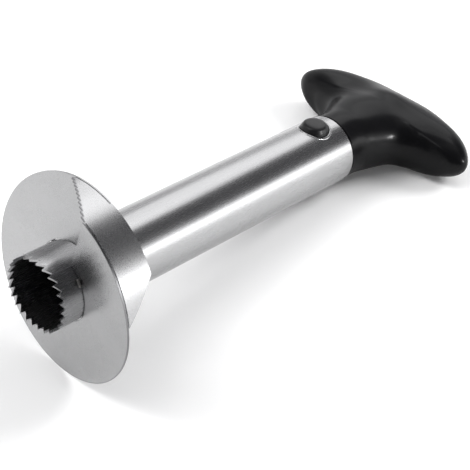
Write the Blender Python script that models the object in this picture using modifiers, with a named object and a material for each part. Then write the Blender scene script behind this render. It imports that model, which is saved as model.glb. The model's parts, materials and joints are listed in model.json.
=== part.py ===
"""Pineapple slicer: a toothed steel core tube carries a one-turn spiral blade with a serrated
rim blade, and a black T grip plugs into its other end behind two sprung release buttons.

The pieces are modelled upright in the tool's own frame: Z runs along the tube from the tooth
tips (0) to the grip, X points out of the upper button and Y lies along the grip's arms.
An empty then lays the tool down as it rests, on the blade's rim and on the grip's arms.
"""
from math import atan2, cos, pi, radians, sin, sqrt

import bmesh
import bpy
from mathutils import Matrix, Vector

COLLECTION_NAME = "pineapple_slicer"
CUTTER_COLLECTION_NAME = "cutters"

# Clearances that every piece shares, and the distance under which points are one
FIT_GAP = 0.0003
CUT_OVERRUN = 0.001
MERGE_DISTANCE = 0.00001

# Core tube, from the tooth tips to the seam under the grip
TUBE_RADIUS = 0.016
TUBE_WALL = 0.001
TUBE_LENGTH = 0.1758
TUBE_TOOTH_COUNT = 26
TUBE_TOOTH_DEPTH = 0.0025
TUBE_TOOTH_STEP_SHARES = (0.0, 0.13, 0.42, 0.71)
TUBE_TOOTH_HEIGHT_SHARES = (1.0, 0.0, 0.33, 0.67)

# Spiral blade: one turn of sheet steel, spread more at the rim than at the hub
BLADE_RADIUS = 0.043
BLADE_THICKNESS = 0.0008
BLADE_FRONT_HUB_HEIGHT = 0.0113
BLADE_FRONT_RIM_HEIGHT = 0.0083
BLADE_REAR_HUB_HEIGHT = 0.0200
BLADE_REAR_RIM_HEIGHT = 0.0241
BLADE_FRONT_HUB_ANGLE = radians(29.5)
BLADE_FRONT_RIM_ANGLE = radians(21.5)
BLADE_TURN = radians(357)
BLADE_RAMP_START_SHARE = 0.14
BLADE_RAMP_END_SHARE = 0.93
BLADE_RAMP_EASE_SHARE = 0.07
BLADE_GROUND_EDGE_SHARE = 0.25
BLADE_TURN_STEPS = 96
BLADE_WIDTH_STEPS = 4

# Rim blade: a curved wall between the turns, flush with the rim, round the blade's leading part
RIM_BLADE_THICKNESS = 0.0008
RIM_BLADE_LEAD_TOP_ANGLE = radians(-8)
RIM_BLADE_TAIL_TOP_ANGLE = radians(60)
RIM_BLADE_TAIL_FOOT_ANGLE = radians(82)
RIM_BLADE_TAIL_TOP_HEIGHT = 0.0252
RIM_BLADE_TOOTH_COUNT = 10
RIM_BLADE_TOOTH_DEPTH = 0.0009
RIM_BLADE_TOOTH_TIP_SHARE = 0.3
RIM_BLADE_BEND_STEP = radians(4)

# Weld beads between tube, spiral blade and rim blade
WELD_RADIUS = 0.0006
HUB_WELD_LENGTH = 0.0036
HUB_WELD_FRONT_ANGLE = radians(55)
HUB_WELD_BACK_ANGLES = (radians(120), radians(215), radians(310))
RIM_WELD_LENGTH = 0.0024
RIM_WELD_FOOT_ANGLES = (radians(30), radians(52), radians(74))
RIM_WELD_TOP_ANGLES = (radians(0), radians(12))
WELD_SEGMENTS = 12
WELD_RINGS = 8

# Release buttons, in the cross bore of tube and plug
BUTTON_PLACE = 0.0118
BUTTON_RADIUS = 0.0066
BUTTON_CROWN_RADIUS = 0.0052
BUTTON_PROUD = 0.0028
BUTTON_CROWN_DROP = 0.0004
BUTTON_TRAVEL = 0.0046
BUTTON_FLANGE_RADIUS = 0.0076
BUTTON_FLANGE_HEIGHT = 0.0116
BUTTON_FLANGE_THICKNESS = 0.0020
BUTTON_STEM_RADIUS = 0.0025
BUTTON_STEM_CLEARANCE = 0.0020
ROUND_STEPS = 48

# Spring between the buttons
SPRING_WIRE_RADIUS = 0.0004
SPRING_TURNS = 7
SPRING_POINTS_PER_TURN = 10

# Plug inside the tube, its end cap and the two screws that hold both to the grip
PLUG_DEPTH = 0.0283
PLUG_CHAMFER = 0.0010
SPIGOT_RADIUS = 0.0128
SPIGOT_LENGTH = 0.0140
CAP_THICKNESS = 0.0027
SCREW_RADIUS = 0.0015
SCREW_OFFSET = 0.0102
SCREW_REACH = 0.0100
SCREW_HEAD_RADIUS = 0.0028
SCREW_HEAD_HEIGHT = 0.0018
SCREW_STEPS = 20

# T grip: half width along the arms and height above the seam, then the half depths
GRIP_NECK_RADIUS = 0.01575
GRIP_FOOT_CHAMFER = 0.0005
GRIP_WAIST_RADIUS = 0.0155
GRIP_HALF_SPAN = 0.0507
GRIP_HEIGHT = 0.0630
GRIP_HALF_DEPTH = 0.0119
GRIP_ARM_SQUARENESS = 4.6
GRIP_BACK_SQUARENESS = 2.2
GRIP_WIDTH_SHARES = (0.330, 0.448, 0.692, 0.905, 1.0, 0.892, 0.690, 0.485, 0.250)
GRIP_HEIGHT_SHARES = (0.224, 0.440, 0.528, 0.568, 0.664, 0.784, 0.856, 0.918, 0.976)
GRIP_WAIST_SHARE = 0.128
GRIP_NECK_END_SHARE = 0.10
GRIP_ARM_START_SHARE = 0.65
GRIP_CLOSE_SHARE = 0.70
GRIP_SLICES = 38
GRIP_SECTION_STEPS = 40

# Colours from the photograph, with roughness and metallic value
STEEL = ((0.60, 0.60, 0.60, 1.0), 0.28, 1.0)
BLADE_STEEL = ((0.68, 0.68, 0.68, 1.0), 0.33, 1.0)
WELD_STEEL = ((0.42, 0.41, 0.40, 1.0), 0.45, 1.0)
SPRING_STEEL = ((0.50, 0.50, 0.52, 1.0), 0.35, 1.0)
BLACK_PLASTIC = ((0.012, 0.012, 0.013, 1.0), 0.38, 0.0)
GREY_PLASTIC = ((0.05, 0.05, 0.055, 1.0), 0.50, 0.0)

# Places worked out from the sizes above
BORE_RADIUS = TUBE_RADIUS - TUBE_WALL
HUB_RADIUS = TUBE_RADIUS + FIT_GAP
RIM_BLADE_RADIUS = BLADE_RADIUS - RIM_BLADE_THICKNESS
BUTTON_HEIGHT = TUBE_LENGTH - BUTTON_PLACE
BUTTON_HOLE_RADIUS = BUTTON_RADIUS + FIT_GAP
PLUG_RADIUS = BORE_RADIUS - FIT_GAP
PLUG_FOOT = TUBE_LENGTH - PLUG_DEPTH
CHAMBER_RADIUS = BUTTON_FLANGE_RADIUS + FIT_GAP
CHAMBER_HALF_DEPTH = BUTTON_FLANGE_HEIGHT + FIT_GAP
BUTTON_STEM_FOOT = BUTTON_TRAVEL + BUTTON_STEM_CLEARANCE
GRIP_FOOT = TUBE_LENGTH + FIT_GAP
SOCKET_TOP = TUBE_LENGTH + SPIGOT_LENGTH + FIT_GAP


def collection(name):
    made = bpy.data.collections.new(name)
    bpy.context.scene.collection.children.link(made)
    return made


def material(name, finish):
    colour, roughness, metallic = finish
    made = bpy.data.materials.new(name)
    made.use_nodes = True
    shader = made.node_tree.nodes["Principled BSDF"]
    shader.inputs["Base Color"].default_value = colour
    shader.inputs["Roughness"].default_value = roughness
    shader.inputs["Metallic"].default_value = metallic
    made.diffuse_color = colour
    return made


def add_part(name, data, finish):
    """Link one sub-part, hang it on the tool's frame and give it its own material."""
    if isinstance(data, bpy.types.Mesh):
        data.shade_smooth()
        data.set_sharp_from_angle(angle=radians(35))
    data.materials.append(material(name, finish))
    part = bpy.data.objects.new(name, data)
    parts.objects.link(part)
    part.parent = tool_frame
    return part


def mesh_from(bm, name):
    data = bpy.data.meshes.new(name)
    bm.to_mesh(data)
    bm.free()
    return data


def cylinder_cutter(name, radius, low, high, turn=Matrix.Identity(4), steps=ROUND_STEPS):
    """A cylinder from low to high along Z, turned or moved into its place."""
    bm = bmesh.new()
    lift = Matrix.Translation((0, 0, (low + high) / 2))
    bmesh.ops.create_cone(bm, cap_ends=True, segments=steps, radius1=radius, radius2=radius,
                          depth=high - low, matrix=turn @ lift)
    return add_cutter(name, bm)


def box_cutter(name, corner, opposite):
    low, high = Vector(corner), Vector(opposite)
    size = high - low
    scale = Matrix.Diagonal((size.x, size.y, size.z, 1))
    bm = bmesh.new()
    bmesh.ops.create_cube(bm, size=1, matrix=Matrix.Translation((low + high) / 2) @ scale)
    return add_cutter(name, bm)


def add_cutter(name, bm):
    cutter = bpy.data.objects.new(name, mesh_from(bm, name))
    cutters.objects.link(cutter)
    cutter.parent = tool_frame
    cutter.hide_render = True
    cutter.display_type = "WIRE"
    return cutter


def cut(part, cutter):
    boolean = part.modifiers.new(cutter.name, "BOOLEAN")
    boolean.operation = "DIFFERENCE"
    boolean.solver = "EXACT"
    boolean.object = cutter


def solidify(part, thickness, offset):
    shell = part.modifiers.new("sheet", "SOLIDIFY")
    shell.thickness = thickness
    shell.offset = offset
    return shell


def turned(name, profile, finish, steps=ROUND_STEPS):
    """A closed profile of (radius, height) points, axis to axis, turned about Z."""
    data = bpy.data.meshes.new(name)
    points = [(radius, 0, height) for radius, height in profile]
    edges = [(i, i + 1) for i in range(len(points) - 1)]
    data.from_pydata(points, edges, [])
    part = add_part(name, data, finish)
    screw = part.modifiers.new("turn", "SCREW")
    screw.steps = steps
    screw.render_steps = steps
    screw.use_merge_vertices = True
    screw.merge_threshold = MERGE_DISTANCE
    screw.use_smooth_shade = True
    return part


def mix(start, end, share):
    return start + (end - start) * share


def clamp(value):
    return min(max(value, 0), 1)


def ease_in_out(share):
    """0 to 1, level at both ends."""
    return clamp(share) ** 2 * (3 - 2 * clamp(share))


def polar(radius, angle, height):
    return Vector((radius * cos(angle), radius * sin(angle), height))


def smooth_path(points, steps):
    """Evenly stepped points of a smooth curve through the given ones, flat across its end."""
    points = [Vector(point) for point in points]
    mirrored_end = Vector((-points[-2].x, points[-2].y))
    points = [2 * points[0] - points[1]] + points + [mirrored_end]
    spans = len(points) - 3
    path = []
    for step in range(steps):
        place = spans * step / (steps - 1)
        span = min(int(place), spans - 1)
        t = place - span
        a, b, c, d = points[span:span + 4]
        bend = (2 * a - 5 * b + 4 * c - d) * t ** 2 + (3 * b - a - 3 * c + d) * t ** 3
        path.append((2 * b + (c - a) * t + bend) / 2)
    return path


def button_cross_axis():
    """Turns Z onto the buttons' line and lifts it to their place on the tube."""
    return Matrix.Translation((0, 0, BUTTON_HEIGHT)) @ Matrix.Rotation(pi / 2, 4, "Y")


# Core tube

def make_core_tube():
    """An open cylinder whose lower ring is drawn into saw teeth, given its wall and button holes."""
    steps = len(TUBE_TOOTH_STEP_SHARES)
    segments = TUBE_TOOTH_COUNT * steps
    bm = bmesh.new()
    bmesh.ops.create_cone(bm, cap_ends=False, segments=segments, radius1=TUBE_RADIUS,
                          radius2=TUBE_RADIUS, depth=TUBE_LENGTH)
    for vert in bm.verts:
        index = round(atan2(vert.co.y, vert.co.x) / (2 * pi) * segments) % segments
        tooth, step = divmod(index, steps)
        angle = 2 * pi * (tooth + TUBE_TOOTH_STEP_SHARES[step]) / TUBE_TOOTH_COUNT
        lower = vert.co.z < 0
        height = TUBE_TOOTH_DEPTH * TUBE_TOOTH_HEIGHT_SHARES[step] if lower else TUBE_LENGTH
        vert.co = polar(TUBE_RADIUS, angle, height)
    tube = add_part("core_tube", mesh_from(bm, "core_tube"), STEEL)
    solidify(tube, TUBE_WALL, -1)
    reach = TUBE_RADIUS + CUT_OVERRUN
    cut(tube, cylinder_cutter("button_holes", BUTTON_HOLE_RADIUS, -reach, reach, button_cross_axis()))


# Spiral blade

def eased(share):
    """0 to 1 at a steady rate, with both corners rounded off."""
    ease = BLADE_RAMP_EASE_SHARE
    if share < ease:
        return max(share + ease, 0) ** 2 / (4 * ease)
    if share > 1 - ease:
        return 1 - max(1 + ease - share, 0) ** 2 / (4 * ease)
    return share


def blade_height(turn_share, width_share):
    """Height of the sheet's toothed side: level at both ends, climbing between them."""
    climb = eased((turn_share - BLADE_RAMP_START_SHARE) / (BLADE_RAMP_END_SHARE - BLADE_RAMP_START_SHARE))
    front = mix(BLADE_FRONT_HUB_HEIGHT, BLADE_FRONT_RIM_HEIGHT, width_share)
    rear = mix(BLADE_REAR_HUB_HEIGHT, BLADE_REAR_RIM_HEIGHT, width_share)
    return mix(front, rear, climb)


def front_angle(radius):
    """Where the straight leading edge, from its hub corner to its rim corner, meets this radius."""
    hub_corner = polar(HUB_RADIUS, BLADE_FRONT_HUB_ANGLE, 0)
    along = (polar(BLADE_RADIUS, BLADE_FRONT_RIM_ANGLE, 0) - hub_corner).normalized()
    nearest = hub_corner - along * hub_corner.dot(along)
    place = nearest + along * sqrt(radius ** 2 - nearest.length_squared)
    return atan2(place.y, place.x)


def blade_point(turn_share, width_share):
    radius = mix(HUB_RADIUS, BLADE_RADIUS, width_share)
    return polar(radius, front_angle(radius) + BLADE_TURN * turn_share, blade_height(turn_share, width_share))


def sheet_height(angle, radius):
    """Height of the sheet's toothed side at a place on its turn."""
    width_share = (radius - HUB_RADIUS) / (BLADE_RADIUS - HUB_RADIUS)
    return blade_height((angle - front_angle(radius)) / BLADE_TURN, width_share)


def make_spiral_blade():
    """A flat grid wound into one turn, with its leading edge ground thin."""
    bm = bmesh.new()
    bmesh.ops.create_grid(bm, x_segments=BLADE_TURN_STEPS, y_segments=BLADE_WIDTH_STEPS, size=1)
    ground = []
    for vert in bm.verts:
        turn_share, width_share = (vert.co.x + 1) / 2, (vert.co.y + 1) / 2
        ground.append(turn_share < 0.5 / BLADE_TURN_STEPS)
        vert.co = blade_point(turn_share, width_share)
    blade = add_part("spiral_blade", mesh_from(bm, "spiral_blade"), BLADE_STEEL)
    body = blade.vertex_groups.new(name="full_thickness")
    body.add([i for i, thin in enumerate(ground) if not thin], 1, "REPLACE")
    shell = solidify(blade, BLADE_THICKNESS, -1)
    shell.vertex_group = body.name
    shell.thickness_vertex_group = BLADE_GROUND_EDGE_SHARE


# Rim blade

def rim_foot_height(angle):
    """The wall's foot, clear of the front sheet's back."""
    return sheet_height(angle, RIM_BLADE_RADIUS) + BLADE_THICKNESS + FIT_GAP


def rim_top_height(angle):
    """The wall's top where it runs under the rear sheet, one turn on."""
    return sheet_height(angle + 2 * pi, RIM_BLADE_RADIUS) - FIT_GAP


def rim_blade_outline():
    """The wall rolled flat, as (length round the rim, height): foot, tail, then the top, which lies
    flush with the rear sheet's back until that sheet begins, and under it from there."""
    rear_end = front_angle(RIM_BLADE_RADIUS) + BLADE_TURN - 2 * pi
    step_place = RIM_BLADE_RADIUS * rear_end + FIT_GAP
    outline = []
    foot_steps = round((RIM_BLADE_TAIL_FOOT_ANGLE - BLADE_FRONT_RIM_ANGLE) / RIM_BLADE_BEND_STEP)
    for step in range(foot_steps + 1):
        angle = mix(BLADE_FRONT_RIM_ANGLE, RIM_BLADE_TAIL_FOOT_ANGLE, step / foot_steps)
        outline.append(Vector((RIM_BLADE_RADIUS * angle, rim_foot_height(angle))))
    corner = outline[0]
    apex = Vector((RIM_BLADE_RADIUS * RIM_BLADE_LEAD_TOP_ANGLE, rim_top_height(RIM_BLADE_LEAD_TOP_ANGLE)))
    outline.append(Vector((RIM_BLADE_RADIUS * RIM_BLADE_TAIL_TOP_ANGLE, RIM_BLADE_TAIL_TOP_HEIGHT)))
    outline.append(Vector((step_place, rim_top_height(rear_end) + FIT_GAP + BLADE_THICKNESS)))
    outline.append(Vector((step_place, rim_top_height(rear_end))))
    outline.append(apex)
    edge = corner - apex
    ahead = Vector((edge.y, -edge.x)).normalized() * RIM_BLADE_TOOTH_DEPTH
    for tooth in range(RIM_BLADE_TOOTH_COUNT):
        outline.append(apex + edge * (tooth + RIM_BLADE_TOOTH_TIP_SHARE) / RIM_BLADE_TOOTH_COUNT + ahead)
        if tooth < RIM_BLADE_TOOTH_COUNT - 1:
            outline.append(apex + edge * (tooth + 1) / RIM_BLADE_TOOTH_COUNT)
    return outline


def make_rim_blade():
    """The flat outline is scored across, then rolled to the rim's radius."""
    bm = bmesh.new()
    bm.faces.new([bm.verts.new((point.x, point.y, 0)) for point in rim_blade_outline()])
    step = RIM_BLADE_RADIUS * RIM_BLADE_BEND_STEP
    place = RIM_BLADE_RADIUS * RIM_BLADE_LEAD_TOP_ANGLE + step / 2
    while place < RIM_BLADE_RADIUS * RIM_BLADE_TAIL_FOOT_ANGLE:
        everything = bm.verts[:] + bm.edges[:] + bm.faces[:]
        bmesh.ops.bisect_plane(bm, geom=everything, dist=MERGE_DISTANCE, plane_co=(place, 0, 0),
                               plane_no=(1, 0, 0))
        place += step
    bmesh.ops.triangulate(bm, faces=bm.faces[:])
    for vert in bm.verts:
        vert.co = polar(RIM_BLADE_RADIUS, vert.co.x / RIM_BLADE_RADIUS, vert.co.y)
    wall = add_part("rim_blade", mesh_from(bm, "rim_blade"), BLADE_STEEL)
    solidify(wall, RIM_BLADE_THICKNESS, 1)


# Weld beads

def add_bead(name, radius, angle, height, length):
    """One bead lying along its seam at this angle."""
    scale = Matrix.Diagonal((1, length / (2 * WELD_RADIUS), 1, 1))
    place = Matrix.Translation(polar(radius, angle, height)) @ Matrix.Rotation(angle, 4, "Z")
    bm = bmesh.new()
    bmesh.ops.create_uvsphere(bm, u_segments=WELD_SEGMENTS, v_segments=WELD_RINGS,
                              radius=WELD_RADIUS, matrix=place @ scale)
    add_part(name, mesh_from(bm, name), WELD_STEEL)


def make_hub_welds():
    """Beads in the corner between tube and spiral blade, one in front and the rest behind."""
    stand_off = WELD_RADIUS + FIT_GAP
    radius = TUBE_RADIUS + stand_off
    front = HUB_WELD_FRONT_ANGLE
    add_bead("hub_weld_front", radius, front, sheet_height(front, radius) - stand_off, HUB_WELD_LENGTH)
    for number, angle in enumerate(HUB_WELD_BACK_ANGLES, 1):
        height = sheet_height(angle, radius) + BLADE_THICKNESS + stand_off
        add_bead(f"hub_weld_back_{number}", radius, angle, height, HUB_WELD_LENGTH)


def make_rim_welds():
    """Beads inside the rim blade, on the front sheet's rim and under the rear sheet's rim."""
    stand_off = WELD_RADIUS + FIT_GAP
    radius = RIM_BLADE_RADIUS - stand_off
    for number, angle in enumerate(RIM_WELD_FOOT_ANGLES, 1):
        height = sheet_height(angle, radius) + BLADE_THICKNESS + stand_off
        add_bead(f"rim_weld_foot_{number}", radius, angle, height, RIM_WELD_LENGTH)
    for number, angle in enumerate(RIM_WELD_TOP_ANGLES, 1):
        height = sheet_height(angle + 2 * pi, radius) - stand_off
        add_bead(f"rim_weld_top_{number}", radius, angle, height, RIM_WELD_LENGTH)


# T grip

def grip_profile():
    """Half width and height of each slice, from the neck round the arm's tip to the back."""
    points = [(GRIP_NECK_RADIUS, 0), (GRIP_WAIST_RADIUS, GRIP_HEIGHT * GRIP_WAIST_SHARE)]
    for width_share, height_share in zip(GRIP_WIDTH_SHARES, GRIP_HEIGHT_SHARES):
        points.append((GRIP_HALF_SPAN * width_share, GRIP_HEIGHT * height_share))
    points.append((0, GRIP_HEIGHT))
    return smooth_path(points, GRIP_SLICES)


def grip_section(half_width, height):
    """One slice across the tube's axis: a circle at the neck, a squarer oval through the arms."""
    rise = height / GRIP_HEIGHT
    arm_share = ease_in_out((rise - GRIP_NECK_END_SHARE) / (GRIP_ARM_START_SHARE - GRIP_NECK_END_SHARE))
    close_share = clamp((rise - GRIP_CLOSE_SHARE) / (1 - GRIP_CLOSE_SHARE))
    closing = sqrt(1 - close_share ** GRIP_BACK_SQUARENESS)
    half_depth = mix(GRIP_NECK_RADIUS, GRIP_HALF_DEPTH, arm_share) * closing
    power = mix(2, GRIP_ARM_SQUARENESS, arm_share)
    section = []
    for step in range(GRIP_SECTION_STEPS):
        angle = 2 * pi * step / GRIP_SECTION_STEPS
        depth = half_depth * sqrt(max(1 - abs(cos(angle)) ** power, 0))
        section.append(Vector((depth if angle < pi else -depth, half_width * cos(angle), GRIP_FOOT + height)))
    return section


def make_handle_grip():
    """A loft of slices, with the socket for the plug's spigot and the screws' pilot holes."""
    bm = bmesh.new()
    profile = grip_profile()[:-1]
    profile[0].y = GRIP_FOOT_CHAMFER
    inset = 1 - GRIP_FOOT_CHAMFER / GRIP_NECK_RADIUS
    neck = grip_section(GRIP_NECK_RADIUS, 0)
    foot = [Vector((point.x * inset, point.y * inset, point.z)) for point in neck]
    sections = [foot] + [grip_section(half_width, height) for half_width, height in profile]
    rings = [[bm.verts.new(point) for point in section] for section in sections]
    for ring, after in zip(rings, rings[1:]):
        for i in range(GRIP_SECTION_STEPS):
            j = (i + 1) % GRIP_SECTION_STEPS
            bm.faces.new((ring[i], ring[j], after[j], after[i]))
    bm.faces.new(rings[0])
    apex = bm.verts.new((0, 0, GRIP_FOOT + GRIP_HEIGHT))
    for i in range(GRIP_SECTION_STEPS):
        bm.faces.new((rings[-1][i], rings[-1][(i + 1) % GRIP_SECTION_STEPS], apex))
    bmesh.ops.recalc_face_normals(bm, faces=bm.faces[:])
    grip = add_part("handle_grip", mesh_from(bm, "handle_grip"), BLACK_PLASTIC)
    cut(grip, cylinder_cutter("grip_socket", SPIGOT_RADIUS + FIT_GAP, TUBE_LENGTH - CUT_OVERRUN, SOCKET_TOP))
    for side, name in ((-1, "left"), (1, "right")):
        place = Matrix.Translation((0, side * SCREW_OFFSET, 0))
        cut(grip, cylinder_cutter("grip_pilot_" + name, SCREW_RADIUS + FIT_GAP, SOCKET_TOP - CUT_OVERRUN,
                                  SOCKET_TOP + SCREW_REACH + FIT_GAP, place, SCREW_STEPS))


# Plug, end cap and screws

def make_handle_plug():
    """Stepped round plug with the buttons' chamber, open below, and their two mouths."""
    body, foot, top = PLUG_RADIUS, PLUG_FOOT, TUBE_LENGTH
    profile = [(0, top + SPIGOT_LENGTH), (SPIGOT_RADIUS - PLUG_CHAMFER, top + SPIGOT_LENGTH),
               (SPIGOT_RADIUS, top + SPIGOT_LENGTH - PLUG_CHAMFER), (SPIGOT_RADIUS, top), (body, top),
               (body, foot + PLUG_CHAMFER), (body - PLUG_CHAMFER, foot), (0, foot)]
    plug = turned("handle_plug", profile, BLACK_PLASTIC)
    cross = button_cross_axis()
    reach = PLUG_RADIUS + CUT_OVERRUN
    cut(plug, cylinder_cutter("button_mouths", BUTTON_HOLE_RADIUS, -reach, reach, cross))
    cut(plug, cylinder_cutter("chamber_round", CHAMBER_RADIUS, -CHAMBER_HALF_DEPTH, CHAMBER_HALF_DEPTH,
                              cross))
    cut(plug, box_cutter("chamber_way", (-CHAMBER_HALF_DEPTH, -CHAMBER_RADIUS, foot - CUT_OVERRUN),
                         (CHAMBER_HALF_DEPTH, CHAMBER_RADIUS, BUTTON_HEIGHT)))
    for side, name in ((-1, "left"), (1, "right")):
        place = Matrix.Translation((0, side * SCREW_OFFSET, 0))
        cut(plug, cylinder_cutter("plug_hole_" + name, SCREW_RADIUS + FIT_GAP, foot - CUT_OVERRUN,
                                  top + SPIGOT_LENGTH + CUT_OVERRUN, place, SCREW_STEPS))


def make_plug_end_cap():
    """Round plate that closes the chamber and stops the buttons from dropping out."""
    top = PLUG_FOOT - FIT_GAP
    foot = top - CAP_THICKNESS
    profile = [(0, top), (PLUG_RADIUS, top), (PLUG_RADIUS, foot + PLUG_CHAMFER),
               (PLUG_RADIUS - PLUG_CHAMFER, foot), (0, foot)]
    cap = turned("plug_end_cap", profile, GREY_PLASTIC)
    for side, name in ((-1, "left"), (1, "right")):
        place = Matrix.Translation((0, side * SCREW_OFFSET, 0))
        cut(cap, cylinder_cutter("cap_hole_" + name, SCREW_RADIUS + FIT_GAP, foot - CUT_OVERRUN,
                                 top + CUT_OVERRUN, place, SCREW_STEPS))


def make_plug_screws():
    """Two pan-head screws from the end cap through the plug into the grip."""
    under_head = PLUG_FOOT - CAP_THICKNESS - 2 * FIT_GAP
    head_foot = under_head - SCREW_HEAD_HEIGHT
    tip = SOCKET_TOP + SCREW_REACH - FIT_GAP
    profile = [(0, tip), (SCREW_RADIUS, tip - SCREW_RADIUS), (SCREW_RADIUS, under_head),
               (SCREW_HEAD_RADIUS, under_head), (SCREW_HEAD_RADIUS, head_foot + SCREW_HEAD_HEIGHT / 2),
               (SCREW_HEAD_RADIUS - SCREW_HEAD_HEIGHT / 2, head_foot), (0, head_foot)]
    for side, name in ((-1, "left"), (1, "right")):
        screw = turned("plug_screw_" + name, profile, SPRING_STEEL, SCREW_STEPS)
        screw.location = (0, side * SCREW_OFFSET, 0)


# Release buttons and their spring

def make_release_buttons():
    """Bevelled crown, retaining flange and spring stem, turned about the button's own line."""
    crown = TUBE_RADIUS + BUTTON_PROUD
    flange_foot = BUTTON_FLANGE_HEIGHT - BUTTON_FLANGE_THICKNESS
    profile = [(0, crown), (BUTTON_CROWN_RADIUS / 2, crown - BUTTON_CROWN_DROP / 4),
               (BUTTON_CROWN_RADIUS, crown - BUTTON_CROWN_DROP),
               (BUTTON_RADIUS, crown - BUTTON_CROWN_DROP - (BUTTON_RADIUS - BUTTON_CROWN_RADIUS)),
               (BUTTON_RADIUS, BUTTON_FLANGE_HEIGHT), (BUTTON_FLANGE_RADIUS, BUTTON_FLANGE_HEIGHT),
               (BUTTON_FLANGE_RADIUS, flange_foot), (BUTTON_STEM_RADIUS, flange_foot),
               (BUTTON_STEM_RADIUS, BUTTON_STEM_FOOT), (0, BUTTON_STEM_FOOT)]
    for side, name in ((1, "upper"), (-1, "lower")):
        button = turned("release_button_" + name, profile, BLACK_PLASTIC)
        button.location = (0, 0, BUTTON_HEIGHT)
        button.rotation_euler = (0, side * pi / 2, 0)


def make_button_spring():
    """One coil spring that pushes the two buttons apart."""
    mean_radius = BUTTON_STEM_RADIUS + FIT_GAP + SPRING_WIRE_RADIUS
    end = BUTTON_FLANGE_HEIGHT - BUTTON_FLANGE_THICKNESS - FIT_GAP - SPRING_WIRE_RADIUS
    count = SPRING_TURNS * SPRING_POINTS_PER_TURN
    data = bpy.data.curves.new("button_spring", "CURVE")
    data.dimensions = "3D"
    data.bevel_depth = SPRING_WIRE_RADIUS
    data.bevel_resolution = 1
    data.use_fill_caps = True
    coil = data.splines.new("POLY")
    coil.points.add(count)
    for i, point in enumerate(coil.points):
        place = polar(mean_radius, 2 * pi * i / SPRING_POINTS_PER_TURN, mix(-end, end, i / count))
        point.co = (*place, 1)
    spring = add_part("button_spring", data, SPRING_STEEL)
    spring.location = (0, 0, BUTTON_HEIGHT)
    spring.rotation_euler = (0, pi / 2, 0)


# The finished tool at rest

def lay_down():
    """Lean the tool on the blade's rim and the grip's arms, centred over the origin."""
    low_turn_share = (pi - BLADE_FRONT_RIM_ANGLE) / BLADE_TURN
    rim_height = blade_height(low_turn_share, 1) + BLADE_THICKNESS
    arm_height = GRIP_FOOT + GRIP_HEIGHT * GRIP_CLOSE_SHARE
    lean = atan2(BLADE_RADIUS - GRIP_HALF_DEPTH, arm_height - rim_height)
    lying = Matrix(((sin(lean), 0, cos(lean)), (0, -1, 0), (cos(lean), 0, -sin(lean))))
    tool_frame.rotation_euler = lying.to_euler()
    bpy.context.view_layer.update()
    depsgraph = bpy.context.evaluated_depsgraph_get()
    corners = []
    for part in parts.objects:
        if part.type == "EMPTY":
            continue
        shape = part.evaluated_get(depsgraph)
        data = shape.to_mesh()
        corners += [shape.matrix_world @ vert.co for vert in data.vertices]
        shape.to_mesh_clear()
    low = [min(corner[axis] for corner in corners) for axis in range(3)]
    high = [max(corner[axis] for corner in corners) for axis in range(3)]
    tool_frame.location = (-(low[0] + high[0]) / 2, -(low[1] + high[1]) / 2, -low[2])
    bpy.context.view_layer.update()
    print("lean in degrees", lean / radians(1))
    print("tool origin", [round(value, 6) for value in tool_frame.location])


for leftover in list(bpy.data.objects):
    bpy.data.objects.remove(leftover, do_unlink=True)

parts = collection(COLLECTION_NAME)
cutters = collection(CUTTER_COLLECTION_NAME)
tool_frame = bpy.data.objects.new("tool_frame", None)
parts.objects.link(tool_frame)

make_core_tube()
make_spiral_blade()
make_rim_blade()
make_hub_welds()
make_rim_welds()
make_handle_grip()
make_handle_plug()
make_plug_end_cap()
make_plug_screws()
make_release_buttons()
make_button_spring()
lay_down()
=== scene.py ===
import json
from math import acos, atan2, cos, exp, pi, radians, sin, sqrt

import bmesh
import bpy
from mathutils import Matrix, Vector


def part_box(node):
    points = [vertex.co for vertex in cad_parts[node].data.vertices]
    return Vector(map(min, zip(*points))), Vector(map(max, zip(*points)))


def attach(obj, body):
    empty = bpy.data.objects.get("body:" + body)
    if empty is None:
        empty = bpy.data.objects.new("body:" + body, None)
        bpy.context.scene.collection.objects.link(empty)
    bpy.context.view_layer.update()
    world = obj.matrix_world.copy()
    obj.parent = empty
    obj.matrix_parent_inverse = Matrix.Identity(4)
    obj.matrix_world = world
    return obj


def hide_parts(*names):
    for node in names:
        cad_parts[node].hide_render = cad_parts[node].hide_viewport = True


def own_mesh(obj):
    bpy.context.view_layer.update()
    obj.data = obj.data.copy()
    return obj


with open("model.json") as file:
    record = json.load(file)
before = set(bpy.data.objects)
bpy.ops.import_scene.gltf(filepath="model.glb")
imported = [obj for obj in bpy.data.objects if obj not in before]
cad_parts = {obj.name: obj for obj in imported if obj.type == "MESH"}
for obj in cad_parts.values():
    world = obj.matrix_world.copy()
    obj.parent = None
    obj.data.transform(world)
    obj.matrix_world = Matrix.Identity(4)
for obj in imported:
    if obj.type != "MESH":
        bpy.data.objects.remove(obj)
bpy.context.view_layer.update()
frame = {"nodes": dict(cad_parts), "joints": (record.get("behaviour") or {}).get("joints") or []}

# Camera. A long lens looks down at about forty degrees from the toothed end's left, so the tube
# runs away from the viewer and the blade shows its front.
CAMERA_PLACE = Vector((-0.34497, -0.31951, 0.42256))
CAMERA_AIM = Vector((-0.00069, 0.00329, 0.0))
CAMERA_ROLL = radians(0.74)
LENS_MM = 107.2
SENSOR_MM = 36

scene = bpy.context.scene
camera_data = bpy.data.cameras.new("photo_camera")
camera_data.lens = LENS_MM
camera_data.sensor_width = SENSOR_MM
camera = bpy.data.objects.new("photo_camera", camera_data)
camera.location = CAMERA_PLACE
level_view = (CAMERA_AIM - CAMERA_PLACE).to_track_quat("-Z", "Y").to_matrix()
camera.rotation_euler = (level_view @ Matrix.Rotation(CAMERA_ROLL, 3, "Z")).to_euler()
scene.collection.objects.link(camera)
scene.camera = camera


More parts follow.
